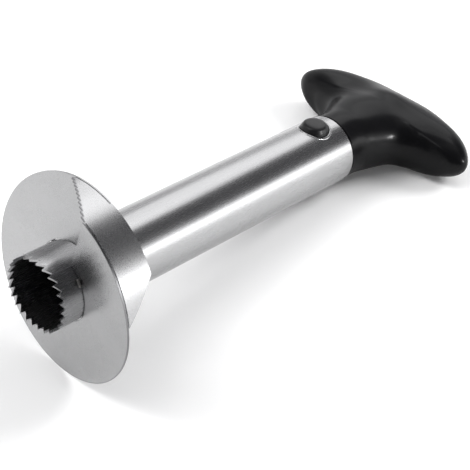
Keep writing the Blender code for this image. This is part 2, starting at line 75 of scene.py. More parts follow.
# Studio. A matt white table, lit a little from below, in a pale room under large soft lamps. Panels
# behind the grip and at the right, with black cards between them, draw the light and dark bands on
# the tube; two more cards, behind the camera and high at the back, tone down the sheets' mirror.
TABLE_SIZE = 8.0
TABLE_COLOUR = (0.90, 0.90, 0.90, 1)
TABLE_GLOW = 0.06
TABLE_ROUGHNESS = 0.55
TABLE_SHINE = 0.2
STUDIO_WALLS = (0.82, 0.82, 0.83, 1)
STUDIO_DARK = (0.10, 0.10, 0.105, 1)
STUDIO_PALE = (0.93, 0.93, 0.93, 1)
# Black cards: direction, then the angles in degrees where each starts to fade in and is full
CARD_SPOTS = (((0.830, -0.217, 0.514), 26, 14), ((0.709, -0.416, 0.569), 25, 13),
              ((0.567, -0.560, 0.604), 23, 12), ((-0.600, -0.565, 0.565), 75, 30),
              ((0.150, 0.500, 0.853), 38, 20))

scene.view_settings.view_transform = "Standard"


class Wire:
    """A node's output. Sums and products written on it become Math nodes in its tree."""

    def __init__(self, tree, socket):
        self.tree = tree
        self.socket = socket

    def out(self, name):
        """Another output of the same node."""
        return Wire(self.tree, self.socket.node.outputs[name])

    def math(self, operation, *others):
        inputs = {place: value for place, value in enumerate((self,) + others)}
        return self.tree.node("ShaderNodeMath", {"operation": operation}, inputs)

    def __add__(self, other):
        return self.math("ADD", other)

    __radd__ = __add__

    def __sub__(self, other):
        return self.math("SUBTRACT", other)

    def __rsub__(self, other):
        return self.math("MULTIPLY", -1) + other

    def __mul__(self, other):
        return self.math("MULTIPLY", other)

    __rmul__ = __mul__

    def __truediv__(self, other):
        return self.math("DIVIDE", other)

    def __rtruediv__(self, other):
        return self.math("POWER", -1) * other


class Tree:
    """A node tree of a material, a world or a mesh."""

    def __init__(self, node_tree):
        self.nodes = node_tree.nodes
        self.links = node_tree.links

    def node(self, kind, settings=None, inputs=None, output=0):
        """One node of this type: its settings first, then the values or wires of its sockets."""
        made = self.nodes.new(kind)
        for name, value in (settings or {}).items():
            setattr(made, name, value)
        for name, value in (inputs or {}).items():
            self.feed(made.inputs[name], value)
        return Wire(self, made.outputs[output]) if len(made.outputs) else made

    def feed(self, socket, value):
        """A wire, a list of wires or a plain value into a socket."""
        if isinstance(value, (list, tuple)) and value and isinstance(value[0], Wire):
            for wire in value:
                self.links.new(wire.socket, socket)
        elif isinstance(value, Wire):
            self.links.new(value.socket, socket)
        else:
            socket.default_value = value


def softbox(name, place, size, watts, aim=(0.0, 0.0, 0.0), mirrored=True, lighting=True):
    """One rectangular lamp, hidden from the camera: mirrored in glossy things, lighting matt ones."""
    lamp = bpy.data.lights.new(name, "AREA")
    lamp.shape = "RECTANGLE"
    lamp.size, lamp.size_y = size
    lamp.energy = watts
    holder = bpy.data.objects.new(name, lamp)
    holder.location = place
    holder.rotation_euler = (Vector(aim) - Vector(place)).to_track_quat("-Z", "Y").to_euler()
    holder.visible_camera = False
    holder.visible_glossy = mirrored
    holder.visible_diffuse = lighting
    scene.collection.objects.link(holder)


softbox("overhead_lamp", (0.00, 0.00, 1.50), (1.5, 1.5), 3, mirrored=False)
softbox("overhead_lamp_left", (-0.57, 0.45, 1.30), (1.0, 1.0), 6.5)
softbox("key_lamp_right", (1.05, -0.63, 0.86), (0.60, 0.60), 16.5, mirrored=False)
softbox("fill_lamp_left", (-0.50, 0.75, 1.15), (0.60, 0.60), 7.5, mirrored=False)
softbox("panel_behind_grip", (1.12, 0.62, 0.82), (1.00, 0.60), 2.3, aim=(0.0, 0.0, 0.05))
softbox("panel_above_grip", (0.88, 0.30, 1.17), (0.72, 0.37), 1.45)
softbox("low_panel_right", (0.92, -1.17, 0.20), (0.90, 0.34), 3.1, aim=(0.0, 0.0, 0.05))
softbox("spot_right", (0.38, -1.40, 0.44), (0.10, 0.22), 8.5, aim=(0.08, 0.0, 0.04), lighting=False)

world = bpy.data.worlds.new("studio")
world.use_nodes = True
scene.world = world
air = Tree(world.node_tree)
air.nodes.clear()
seen = air.node("ShaderNodeLightPath").out("Is Camera Ray")
ahead = air.node("ShaderNodeTexCoord").out("Generated")
cards = None
for direction, outer, inner in CARD_SPOTS:
    facing = air.node("ShaderNodeVectorMath", {"operation": "DOT_PRODUCT"}, {0: ahead, 1: direction}, "Value")
    spot = air.node("ShaderNodeMapRange", {"interpolation_type": "SMOOTHSTEP"}, {
        "Value": facing, "From Min": cos(radians(outer)), "From Max": cos(radians(inner))})
    cards = spot.math("MAXIMUM", cards) if cards else spot
walls = air.node("ShaderNodeMix", {"data_type": "RGBA"}, {0: cards, 6: STUDIO_WALLS, 7: STUDIO_DARK}, 2)
room = air.node("ShaderNodeBackground", None, {"Color": walls})
pale = air.node("ShaderNodeBackground", None, {"Color": STUDIO_PALE})
sky = air.node("ShaderNodeMixShader", None, {0: seen, 1: room, 2: pale})
air.node("ShaderNodeOutputWorld", None, {"Surface": sky})


class Finish(Tree):
    """A material: its Principled sockets take numbers here, and wires through feed_surface."""

    def __init__(self, name, **constants):
        self.material = bpy.data.materials.new(name)
        self.material.use_nodes = True
        super().__init__(self.material.node_tree)
        self.surface = self.nodes["Principled BSDF"]
        for socket, value in constants.items():
            self.surface.inputs[socket.replace("_", " ")].default_value = value

    def feed_surface(self, **wires):
        for socket, wire in wires.items():
            self.feed(self.surface.inputs[socket.replace("_", " ")], wire)

    def place(self):
        """Object coordinates."""
        return self.node("ShaderNodeTexCoord").out("Object")

    def stretched(self, place, scale):
        """The same coordinates, scaled along each axis."""
        return self.node("ShaderNodeVectorMath", {"operation": "MULTIPLY"}, {0: place, 1: scale})

    def noise(self, place, scale, detail=2.0):
        return self.node("ShaderNodeTexNoise", None, {"Vector": place, "Scale": scale, "Detail": detail})

    def shade(self, share, low, high):
        """A colour between two others."""
        return self.node("ShaderNodeMix", {"data_type": "RGBA"}, {0: share, 6: low, 7: high}, 2)

    def bump(self, height, depth):
        return self.node("ShaderNodeBump", None, {"Height": height, "Distance": depth, "Strength": 1.0})


table_finish = Finish("white_table", Base_Color=TABLE_COLOUR, Roughness=TABLE_ROUGHNESS,
                      Specular_IOR_Level=TABLE_SHINE, Emission_Color=TABLE_COLOUR,
                      Emission_Strength=TABLE_GLOW)
table_mesh = bpy.data.meshes.new("table")
bm = bmesh.new()
bmesh.ops.create_grid(bm, x_segments=1, y_segments=1, size=TABLE_SIZE / 2)
bm.to_mesh(table_mesh)
bm.free()
table_mesh.materials.append(table_finish.material)
table = bpy.data.objects.new("table", table_mesh)
scene.collection.objects.link(table)


# Core tube. A drawn stainless steel tube of 32 mm with a satin, lengthwise grain; its mouth is
# stamped into saw teeth, and two round holes with rolled lips, across its other end, pass the
# release buttons that hold it to the grip.
TUBE_RADIUS = 0.016
TUBE_WALL = 0.001
TUBE_LENGTH = 0.1758
TUBE_TOOTH_COUNT = 26
TUBE_TOOTH_DEPTH = 0.0025
TUBE_TOOTH_STEEP_SHARE = 0.13
TUBE_STEPS_PER_TOOTH = 14
TUBE_RINGS = 24
TUBE_RING_CROWDING = 2.0
BUTTON_HEIGHT = 0.1640
BUTTON_HOLE_RADIUS = 0.0069
HOLE_LIP_RADIUS = 0.0007
HOLE_LIP_OFFSET = 0.00045
HOLE_LIP_SINK = 0.0004
HOLE_LIP_STEPS = 12
HOLE_STEPS = 128
MERGE_DISTANCE = 0.000005
STEEL_DARK = (0.365, 0.365, 0.37, 1)
STEEL_LIGHT = (0.445, 0.445, 0.45, 1)
TUBE_GRAIN_SCALE = 5200.0
TUBE_GRAIN_STRETCH = 0.035
TUBE_GRAIN_DEPTH = 0.000001
TUBE_CLOUD_SCALE = 55.0
TUBE_GRAIN_SHARE = 0.6
TUBE_ROUGHNESS_LEVELS = (0.22, 0.06, 0.04)
# Faces that meet at more than this stay sharp: on cut sheet and tube, and on beads and wire
CREASE_ANGLE = radians(35)
ROUND_CREASE_ANGLE = radians(60)

# The tool's own frame: Z along the tube from its tooth tips, X out of the upper button
press = next(joint for joint in frame["joints"] if joint["name"] == "upper_button_press")
tool_up = -Vector(press["axis"]).normalized()
tool_side = Vector((0, -1, 0))
tool_ahead = tool_up.cross(tool_side)
button_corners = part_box("release_button_upper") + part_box("release_button_lower")
low_corner = Vector([min(corner[axis] for corner in button_corners) for axis in range(3)])
high_corner = Vector([max(corner[axis] for corner in button_corners) for axis in range(3)])
tool_origin = (low_corner + high_corner) / 2 - BUTTON_HEIGHT * tool_ahead
TOOL = Matrix((tool_up, tool_side, tool_ahead)).transposed().to_4x4()
TOOL.translation = tool_origin


def tool_place(finish):
    """Object coordinates turned into the tool's own frame."""
    return finish.node("ShaderNodeMapping", {"vector_type": "TEXTURE"},
                       {"Vector": finish.place(), "Location": tool_origin, "Rotation": TOOL.to_euler()})


def raised(levels, *patterns):
    """The first level, raised by each pattern times its own level."""
    total = levels[0]
    for level, pattern in zip(levels[1:], patterns):
        total = total + pattern * level
    return total


def add_piece(name, mesh, body, slot, *nodes):
    """One finished piece, which rides on a body and stands for these nodes."""
    mesh.name = name
    piece = bpy.data.objects.new(name, mesh)
    scene.collection.objects.link(piece)
    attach(piece, body)
    if nodes:
        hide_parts(*nodes)
    return piece


class Shape(Tree):
    """A Geometry Nodes tree with named inputs, which ends in one realised mesh with its material."""

    def __init__(self, name):
        self.group = bpy.data.node_groups.new(name, "GeometryNodeTree")
        super().__init__(self.group)
        self.values = {}
        self.entry = self.nodes.new("NodeGroupInput")

    def size(self, name, value):
        """A named input with its value."""
        kind = "NodeSocketInt" if isinstance(value, int) else "NodeSocketFloat"
        made = self.group.interface.new_socket(name, in_out="INPUT", socket_type=kind)
        self.values[made.identifier] = value
        return Wire(self, self.entry.outputs[name])

    def grid(self, columns, rows):
        """A grid of unit size, with its two shares from 0 to 1."""
        sheet = self.node("GeometryNodeMeshGrid", None, {"Size X": 1.0, "Size Y": 1.0,
                                                         "Vertices X": columns, "Vertices Y": rows})
        place = self.node("ShaderNodeSeparateXYZ", None, {0: self.node("GeometryNodeInputPosition")})
        return sheet, place + 0.5, place.out("Y") + 0.5

    def vector(self, x, y, z):
        return self.node("ShaderNodeCombineXYZ", None, {0: x, 1: y, 2: z})

    def round_place(self, radius, angle, height):
        return self.vector(radius * angle.math("COSINE"), radius * angle.math("SINE"), height)

    def moved(self, mesh, place):
        return self.node("GeometryNodeSetPosition", None, {"Geometry": mesh, "Position": place})

    def merged(self, mesh):
        return self.node("GeometryNodeMergeByDistance", None, {"Geometry": mesh, "Distance": MERGE_DISTANCE})

    def joined(self, *meshes):
        return self.node("GeometryNodeJoinGeometry", None, {"Geometry": list(meshes)})

    def thickened(self, sheet, offset):
        """A closed wall between the sheet and its copy, moved by an offset against its faces."""
        lifted = self.node("GeometryNodeExtrudeMesh", {"mode": "FACES"},
                           {"Mesh": sheet, "Offset": offset, "Offset Scale": 1.0, "Individual": False})
        back = self.node("GeometryNodeFlipFaces", None, {"Mesh": lifted})
        return self.merged(self.joined(sheet, back))

    def finished(self, mesh, finish, smooth_angle):
        """The tree's plain mesh, laid into the tool's place."""
        real = self.node("GeometryNodeRealizeInstances", None, {"Geometry": mesh})
        painted = self.node("GeometryNodeSetMaterial", None, {"Geometry": real, "Material": finish.material})
        self.group.interface.new_socket("Geometry", in_out="OUTPUT", socket_type="NodeSocketGeometry")
        self.node("NodeGroupOutput", None, {0: painted})
        maker = bpy.data.objects.new(self.group.name, bpy.data.meshes.new(self.group.name))
        scene.collection.objects.link(maker)
        modifier = maker.modifiers.new("shape", "NODES")
        modifier.node_group = self.group
        for identifier, value in self.values.items():
            modifier[identifier] = value
        evaluated = maker.evaluated_get(bpy.context.evaluated_depsgraph_get())
        plain = bpy.data.meshes.new_from_object(evaluated)
        maker.modifiers.remove(modifier)
        bpy.data.objects.remove(maker)
        plain.transform(TOOL)
        plain.shade_smooth()
        plain.set_sharp_from_angle(angle=smooth_angle)
        return plain


tube_finish = Finish("satin_tube", Metallic=1.0)
along = tube_finish.stretched(tool_place(tube_finish), (1.0, 1.0, TUBE_GRAIN_STRETCH))
grain = tube_finish.noise(along, TUBE_GRAIN_SCALE)
cloud = tube_finish.noise(tool_place(tube_finish), TUBE_CLOUD_SCALE)
mottle = grain * TUBE_GRAIN_SHARE + cloud * (1 - TUBE_GRAIN_SHARE)
tube_finish.feed_surface(
    Base_Color=tube_finish.shade(mottle, STEEL_DARK, STEEL_LIGHT),
    Roughness=raised(TUBE_ROUGHNESS_LEVELS, grain, cloud),
    Normal=tube_finish.bump(grain, TUBE_GRAIN_DEPTH))

tube = Shape("toothed_tube")
radius = tube.size("Radius", TUBE_RADIUS)
wall = tube.size("Wall", TUBE_WALL)
length = tube.size("Length", TUBE_LENGTH)
teeth = tube.size("Teeth", TUBE_TOOTH_COUNT)
depth = tube.size("Tooth depth", TUBE_TOOTH_DEPTH)
steps = tube.size("Steps per tooth", TUBE_STEPS_PER_TOOTH)
sheet, turn, rise = tube.grid(teeth * steps + 1, TUBE_RINGS)
column = (turn * teeth * steps).math("ROUND")
step = column.math("MODULO", steps)
first = step.math("LESS_THAN", 0.5)
slope = ((step - 1) / (steps - 1)).math("MAXIMUM", 0.0)
step_share = (1 - first) * (TUBE_TOOTH_STEEP_SHARE + slope * (1 - TUBE_TOOTH_STEEP_SHARE))
angle = ((column - step) / steps + step_share) / teeth * (2 * pi)
mouth = depth * (first + slope)
height = mouth + (length - mouth) * rise.math("POWER", TUBE_RING_CROWDING)
sheet = tube.merged(tube.moved(sheet, tube.round_place(radius, angle, height)))
place = tube.node("ShaderNodeSeparateXYZ", None, {0: tube.node("GeometryNodeInputPosition")})
inward = tube.vector(place * -1 / radius * wall, place.out("Y") * -1 / radius * wall, 0.0)
body = tube.thickened(sheet, inward)
drill = tube.node("GeometryNodeMeshCylinder", None, {"Vertices": HOLE_STEPS, "Radius": BUTTON_HOLE_RADIUS,
                                                     "Depth": 4 * TUBE_RADIUS})
drill = tube.node("GeometryNodeTransform", None, {"Geometry": drill, "Translation": (0, 0, BUTTON_HEIGHT),
                                                  "Rotation": (0, pi / 2, 0)})
drilled = tube.node("GeometryNodeMeshBoolean", {"operation": "DIFFERENCE", "solver": "EXACT"},
                    {"Mesh 1": body, "Mesh 2": drill})
add_piece("toothed_tube", tube.finished(drilled, tube_finish, CREASE_ANGLE), "slicer", "tube_steel",
          "core_tube")

lips = Shape("button_hole_lips")
radius = lips.size("Hole radius", BUTTON_HOLE_RADIUS) + HOLE_LIP_OFFSET
bead = lips.size("Lip radius", HOLE_LIP_RADIUS)
rims = []
for side in (1, -1):
    sheet, around, across = lips.grid(HOLE_STEPS + 1, HOLE_LIP_STEPS + 1)
    turn = around * (2 * pi)
    bend = across * (-2 * pi)
    reach = radius + bead * bend.math("COSINE")
    sideways = reach * turn.math("SINE")
    out = (TUBE_RADIUS ** 2 - sideways * sideways).math("SQRT") - HOLE_LIP_SINK + bead * bend.math("SINE")
    rims.append(lips.merged(lips.moved(sheet, lips.vector(
        out * side, sideways * side, reach * turn.math("COSINE") + BUTTON_HEIGHT))))
add_piece("button_hole_lips", lips.finished(lips.joined(*rims), tube_finish, ROUND_CREASE_ANGLE), "slicer",
          "tube_steel")


# Spiral blade. One turn of 0.8 mm stainless sheet, welded round the tube, whose straight leading
# edge is ground thin; it climbs most in the middle of its turn, and more at the rim than at the hub.
HUB_RADIUS = 0.0163
BLADE_RADIUS = 0.04296
BLADE_THICKNESS = 0.0008
BLADE_EDGE_THICKNESS = 0.00018
BLADE_GROUND_SHARE = 0.012
BLADE_FRONT_HUB_HEIGHT = 0.0113
BLADE_FRONT_RIM_HEIGHT = 0.0083
BLADE_REAR_HUB_HEIGHT = 0.0200
BLADE_REAR_RIM_HEIGHT = 0.0241
BLADE_FRONT_HUB_ANGLE = radians(29.5)
BLADE_FRONT_RIM_ANGLE = radians(21.5)
BLADE_TURN = radians(357)
BLADE_RAMP_START_SHARE = 0.14
BLADE_RAMP_END_SHARE = 0.93
BLADE_RAMP_EASE_SHARE = 0.07
SHEET_DARK = (0.40, 0.40, 0.405, 1)
SHEET_LIGHT = (0.49, 0.49, 0.495, 1)
# Painted seam shade at the spiral sheet's hub and rim: the band's width, the dark colour it shares with the
# cut edges, the height where it has faded, the distance over which it fades, and its least and most share
SEAM_SHADE_WIDTH = 0.0005
CUT_EDGE_AND_SEAM_SHADE_COLOUR = (0.14, 0.14, 0.145, 1)
SEAM_SHADE_TOP = 0.0215
SEAM_SHADE_FADE = 0.004
SEAM_SHADE_LEAST = 0.1
SEAM_SHADE_MOST = 0.8
CUT_FACE_SHARE = 0.85
SPECKLE_SCALE = 2600.0
SPECKLE_SHARE = 0.3
SPECKLE_DEPTH = 0.0000007
SHEET_CLOUD_SCALE = 70.0
SHEET_ROUGHNESS_LEVELS = (0.23, 0.05, 0.04)
BLADE_COLUMNS = 480
BLADE_ROWS = 14

hub_corner = Vector((cos(BLADE_FRONT_HUB_ANGLE), sin(BLADE_FRONT_HUB_ANGLE))) * HUB_RADIUS
rim_corner = Vector((cos(BLADE_FRONT_RIM_ANGLE), sin(BLADE_FRONT_RIM_ANGLE))) * BLADE_RADIUS
edge_direction = (rim_corner - hub_corner).normalized()
edge_foot = hub_corner - edge_direction * hub_corner.dot(edge_direction)
EDGE_FOOT_ANGLE = atan2(edge_foot.y, edge_foot.x)
EDGE_FOOT_DISTANCE = edge_foot.length


def mix(start, end, share):
    return start + (end - start) * share


def front_angle(radius):
    """Where the straight leading edge meets this radius."""
    return EDGE_FOOT_ANGLE - (EDGE_FOOT_DISTANCE / radius).math("ARCCOSINE")


def soft_corner(share):
    """0 below zero and the share itself above, with the corner rounded off."""
    ease = BLADE_RAMP_EASE_SHARE
    near = share.math("MINIMUM", ease).math("MAXIMUM", -ease) + ease
    return near * near / (4 * ease) + (share - ease).math("MAXIMUM", 0.0)


def blade_height(turn_share, width_share):
    """Height of the sheet's toothed side."""
    share = (turn_share - BLADE_RAMP_START_SHARE) / (BLADE_RAMP_END_SHARE - BLADE_RAMP_START_SHARE)
    climb = soft_corner(share) - soft_corner(share - 1)
    front = mix(BLADE_FRONT_HUB_HEIGHT, BLADE_FRONT_RIM_HEIGHT, width_share)
    rear = mix(BLADE_REAR_HUB_HEIGHT, BLADE_REAR_RIM_HEIGHT, width_share)
    return mix(front, rear, climb)


def sheet_finish(name, seam_shade_radii):
    """Satin sheet, mottled by its rolling and darker along cut edges that carry the cut attribute, with
    painted seam shade in a thin band at these distances from the axis, fainter towards the turn's rear end."""
    finish = Finish(name, Metallic=1.0)
    place = tool_place(finish)
    speckle = finish.noise(place, SPECKLE_SCALE)
    cloud = finish.noise(place, SHEET_CLOUD_SCALE)
    mottle = speckle * SPECKLE_SHARE + cloud * (1 - SPECKLE_SHARE)
    colour = finish.shade(mottle, SHEET_DARK, SHEET_LIGHT)
    cut = finish.node("ShaderNodeAttribute", {"attribute_name": "cut"}).out("Fac")
    colour = finish.shade(cut * CUT_FACE_SHARE, colour, CUT_EDGE_AND_SEAM_SHADE_COLOUR)
    reach = finish.node("ShaderNodeVectorMath", {"operation": "LENGTH"},
                        {0: finish.stretched(place, (1.0, 1.0, 0.0))}, "Value")
    front = (SEAM_SHADE_TOP - finish.node("ShaderNodeSeparateXYZ", None, {0: place}, "Z")) / SEAM_SHADE_FADE
    # Painted shade in the seams: a thin dark band at each of these radii, strongest low on the turn
    for radius in seam_shade_radii:
        near = (1 - (reach - radius).math("ABSOLUTE") / SEAM_SHADE_WIDTH).math("MAXIMUM", 0.0)
        seam_shade = near * front.math("MAXIMUM", SEAM_SHADE_LEAST).math("MINIMUM", SEAM_SHADE_MOST)
        colour = finish.shade(seam_shade, colour, CUT_EDGE_AND_SEAM_SHADE_COLOUR)
    finish.feed_surface(Base_Color=colour, Roughness=raised(SHEET_ROUGHNESS_LEVELS, speckle, cloud),
                        Normal=finish.bump(speckle, SPECKLE_DEPTH))
    return finish


# Painted shade darkens the sheet at the hub, where it meets the tube, and at the rim, against the rim blade
blade_finish = sheet_finish("satin_spiral_sheet", (HUB_RADIUS, BLADE_RADIUS))

blade = Shape("spiral_sheet")
columns = blade.size("Columns", BLADE_COLUMNS)
rows = blade.size("Rows", BLADE_ROWS)
hub = blade.size("Hub radius", HUB_RADIUS)
rim = blade.size("Rim radius", BLADE_RADIUS)
turn = blade.size("Turn", BLADE_TURN)
thickness = blade.size("Thickness", BLADE_THICKNESS)
sheet, turn_share, width_share = blade.grid(columns, rows)
radius = mix(hub, rim, width_share)
spot = blade.round_place(radius, front_angle(radius) + turn * turn_share,
                         blade_height(turn_share, width_share))
ground = (turn_share / BLADE_GROUND_SHARE).math("MINIMUM", 1.0)
kept = blade.node("GeometryNodeStoreNamedAttribute", {"data_type": "FLOAT", "domain": "POINT"},
                  {"Geometry": sheet, "Name": "ground", "Value": ground})
sheet = blade.moved(kept, spot)
ground = blade.node("GeometryNodeInputNamedAttribute", {"data_type": "FLOAT"}, {"Name": "ground"})
back = blade.vector(0.0, 0.0, mix(BLADE_EDGE_THICKNESS, thickness, ground))
closed = blade.thickened(sheet, back)
add_piece("spiral_sheet", blade.finished(closed, blade_finish, CREASE_ANGLE), "slicer", "blade_steel",
          "spiral_blade")


# Rim blade. A strip of the same sheet, bent to the rim's radius and welded between the turns;
# its leading edge is cut into fine teeth that slit the fruit along the rind.
RIM_BLADE_THICKNESS = 0.0008
RIM_BLADE_RADIUS = BLADE_RADIUS - RIM_BLADE_THICKNESS
RIM_BLADE_LEAD_TOP_ANGLE = radians(-8)
RIM_BLADE_TAIL_TOP_ANGLE = radians(60)
RIM_BLADE_TAIL_FOOT_ANGLE = radians(82)
RIM_BLADE_TAIL_TOP_HEIGHT = 0.0252
RIM_BLADE_TOOTH_COUNT = 10
RIM_BLADE_TOOTH_DEPTH = 0.0009
RIM_BLADE_TOOTH_TIP_SHARE = 0.3
RIM_BLADE_TOOTH_DROP_SHARE = 0.8
RIM_BLADE_COLUMNS = 120
RIM_BLADE_ROWS = 101
SEAM_GAP = 0.0003

wall_finish = sheet_finish("satin_wall_sheet", ())
rim_blade = Shape("serrated_wall")
columns = rim_blade.size("Columns", RIM_BLADE_COLUMNS)
rows = rim_blade.size("Rows", RIM_BLADE_ROWS)
teeth = rim_blade.size("Teeth", RIM_BLADE_TOOTH_COUNT)
tooth_depth = rim_blade.size("Tooth depth", RIM_BLADE_TOOTH_DEPTH)
thickness = rim_blade.size("Thickness", RIM_BLADE_THICKNESS)
sheet, along, rise = rim_blade.grid(columns, rows)
radius = along * 0 + RIM_BLADE_RADIUS
width_share = (RIM_BLADE_RADIUS - HUB_RADIUS) / (BLADE_RADIUS - HUB_RADIUS)
rear_end = EDGE_FOOT_ANGLE - acos(EDGE_FOOT_DISTANCE / RIM_BLADE_RADIUS) + BLADE_TURN - 2 * pi
foot_angle = mix(BLADE_FRONT_RIM_ANGLE, RIM_BLADE_TAIL_FOOT_ANGLE, along)
foot = blade_height((foot_angle - front_angle(radius)) / BLADE_TURN, width_share) + BLADE_THICKNESS + SEAM_GAP
top_angle = mix(RIM_BLADE_LEAD_TOP_ANGLE, RIM_BLADE_TAIL_TOP_ANGLE, along)
under = top_angle.math("MINIMUM", rear_end) + 2 * pi
top = blade_height((under - front_angle(radius)) / BLADE_TURN, width_share) - SEAM_GAP
free = ((top_angle - rear_end) / (RIM_BLADE_TAIL_TOP_ANGLE - rear_end)).math("MAXIMUM", 0.0)
past_end = top_angle.math("GREATER_THAN", rear_end + SEAM_GAP / RIM_BLADE_RADIUS)
tail_rise = RIM_BLADE_TAIL_TOP_HEIGHT - BLADE_REAR_RIM_HEIGHT
top = top + past_end * mix(SEAM_GAP + BLADE_THICKNESS, tail_rise, free)
tooth = ((1 - rise) * teeth).math("FRACT")
saw = (tooth / RIM_BLADE_TOOTH_TIP_SHARE).math("MINIMUM", (1 - tooth) / (1 - RIM_BLADE_TOOTH_TIP_SHARE))
front = along.math("LESS_THAN", 0.5 / RIM_BLADE_COLUMNS)
lead = front * saw * tooth_depth
turned_edge = mix(foot_angle, top_angle, rise) - lead / RIM_BLADE_RADIUS
spot = rim_blade.round_place(radius, turned_edge, mix(foot, top, rise) - lead * RIM_BLADE_TOOTH_DROP_SHARE)
kept = rim_blade.node("GeometryNodeStoreNamedAttribute", {"data_type": "FLOAT", "domain": "POINT"},
                      {"Geometry": sheet, "Name": "cut", "Value": front})
sheet = rim_blade.moved(kept, spot)
place = rim_blade.node("ShaderNodeSeparateXYZ", None, {0: rim_blade.node("GeometryNodeInputPosition")})
outward = thickness / RIM_BLADE_RADIUS
outward = rim_blade.vector(place * outward, place.out("Y") * outward, 0.0)
flipped = rim_blade.node("GeometryNodeFlipFaces", None, {"Mesh": sheet})
closed = rim_blade.thickened(flipped, outward)
add_piece("serrated_wall", rim_blade.finished(closed, wall_finish, CREASE_ANGLE), "slicer", "blade_steel",
          "rim_blade")


# Weld beads. Short rippled beads, dull and heat-tinted, that join the spiral sheet to the tube, one
# in front and three behind, and the rim blade to the sheets above and below it.
WELD_RADIUS = 0.0009
WELD_RIPPLES = 5
WELD_RIPPLE_SHARE = 0.10
HUB_WELD_LENGTH = 0.0036
RIM_WELD_LENGTH = 0.0024
HUB_WELD_FRONT_ANGLE = radians(55)
HUB_WELD_BACK_ANGLES = (radians(120), radians(215), radians(310))
RIM_WELD_FOOT_ANGLES = (radians(30), radians(52), radians(74))
RIM_WELD_TOP_ANGLES = (radians(0), radians(12))
WELD_COLUMNS = 41
WELD_STEPS = 25
WELD_DARK = (0.05, 0.048, 0.045, 1)
WELD_LIGHT = (0.34, 0.33, 0.32, 1)
WELD_MARK_SCALE = 3200.0
WELD_MARK_DETAIL = 3.0
WELD_MARK_DEPTH = 0.00002
WELD_TINT_SCALE = 420.0
WELD_ROUGHNESS_LEVELS = (0.22, 0.22)

weld_finish = Finish("tinted_weld", Metallic=1.0)
place = weld_finish.place()
marks = weld_finish.noise(place, WELD_MARK_SCALE, WELD_MARK_DETAIL)
tint = weld_finish.noise(place, WELD_TINT_SCALE)
weld_finish.feed_surface(
    Base_Color=weld_finish.shade(tint, WELD_DARK, WELD_LIGHT),
    Roughness=raised(WELD_ROUGHNESS_LEVELS, marks),
    Normal=weld_finish.bump(marks, WELD_MARK_DEPTH))


def plain_height(angle, radius):
    """Height of the sheet's toothed side at this place, as a number."""
    foot_angle = EDGE_FOOT_ANGLE - acos(EDGE_FOOT_DISTANCE / radius)
    share = (angle - foot_angle) / BLADE_TURN - BLADE_RAMP_START_SHARE
    share /= BLADE_RAMP_END_SHARE - BLADE_RAMP_START_SHARE
    ease = BLADE_RAMP_EASE_SHARE
    climb = 0
    for corner, sign in ((share, 1), (share - 1, -1)):
        near = min(max(corner, -ease), ease) + ease
        climb += sign * (near ** 2 / (4 * ease) + max(corner - ease, 0))
    width_share = (radius - HUB_RADIUS) / (BLADE_RADIUS - HUB_RADIUS)
    front = mix(BLADE_FRONT_HUB_HEIGHT, BLADE_FRONT_RIM_HEIGHT, width_share)
    rear = mix(BLADE_REAR_HUB_HEIGHT, BLADE_REAR_RIM_HEIGHT, width_share)
    return mix(front, rear, climb)


# Each bead: its distance from the axis, its angle, the turn of the sheet it lies on, how far over that
# sheet's toothed side it lies, and its length
hub_line = TUBE_RADIUS + WELD_RADIUS
rim_line = RIM_BLADE_RADIUS - WELD_RADIUS
beads = [(hub_line, HUB_WELD_FRONT_ANGLE, 0, -WELD_RADIUS, HUB_WELD_LENGTH)]
for angle in HUB_WELD_BACK_ANGLES:
    beads.append((hub_line, angle, 0, BLADE_THICKNESS + WELD_RADIUS, HUB_WELD_LENGTH))
for angle in RIM_WELD_FOOT_ANGLES:
    beads.append((rim_line, angle, 0, BLADE_THICKNESS + WELD_RADIUS, RIM_WELD_LENGTH))
for angle in RIM_WELD_TOP_ANGLES:
    beads.append((rim_line, angle, 2 * pi, -WELD_RADIUS, RIM_WELD_LENGTH))

welds = Shape("weld_beads")
bead_radius = welds.size("Bead radius", WELD_RADIUS)
ripples = welds.size("Ripples", WELD_RIPPLES)
ripple_share = welds.size("Ripple share", WELD_RIPPLE_SHARE)
laid = []
for reach, angle, ahead_turn, lift, bead_length in beads:
    sheet, around, along = welds.grid(WELD_STEPS, WELD_COLUMNS)
    end = along * 2 - 1
    ripple = 1 - ripple_share * (end * ripples * (pi / 2)).math("SINE").math("ABSOLUTE")
    taper = (1 - (end * end).math("POWER", 2.0)).math("MAXIMUM", 0.0).math("SQRT")
    girth = bead_radius * ripple * taper
    turned = around * (-2 * pi)
    bead = welds.moved(sheet, welds.vector(girth * turned.math("COSINE"), end * (bead_length / 2),
                                           girth * turned.math("SINE")))
    height = plain_height(angle + ahead_turn, reach) + lift
    laid.append(welds.node("GeometryNodeTransform", None, {
        "Geometry": welds.merged(bead), "Rotation": (0, 0, angle),
        "Translation": (reach * cos(angle), reach * sin(angle), height)}))
add_piece("weld_beads", welds.finished(welds.joined(*laid), weld_finish, ROUND_CREASE_ANGLE), "slicer",
          "weld", "hub_weld_front", "hub_weld_back_1", "hub_weld_back_2", "hub_weld_back_3",
          "rim_weld_foot_1", "rim_weld_foot_2", "rim_weld_foot_3", "rim_weld_top_1", "rim_weld_top_2")


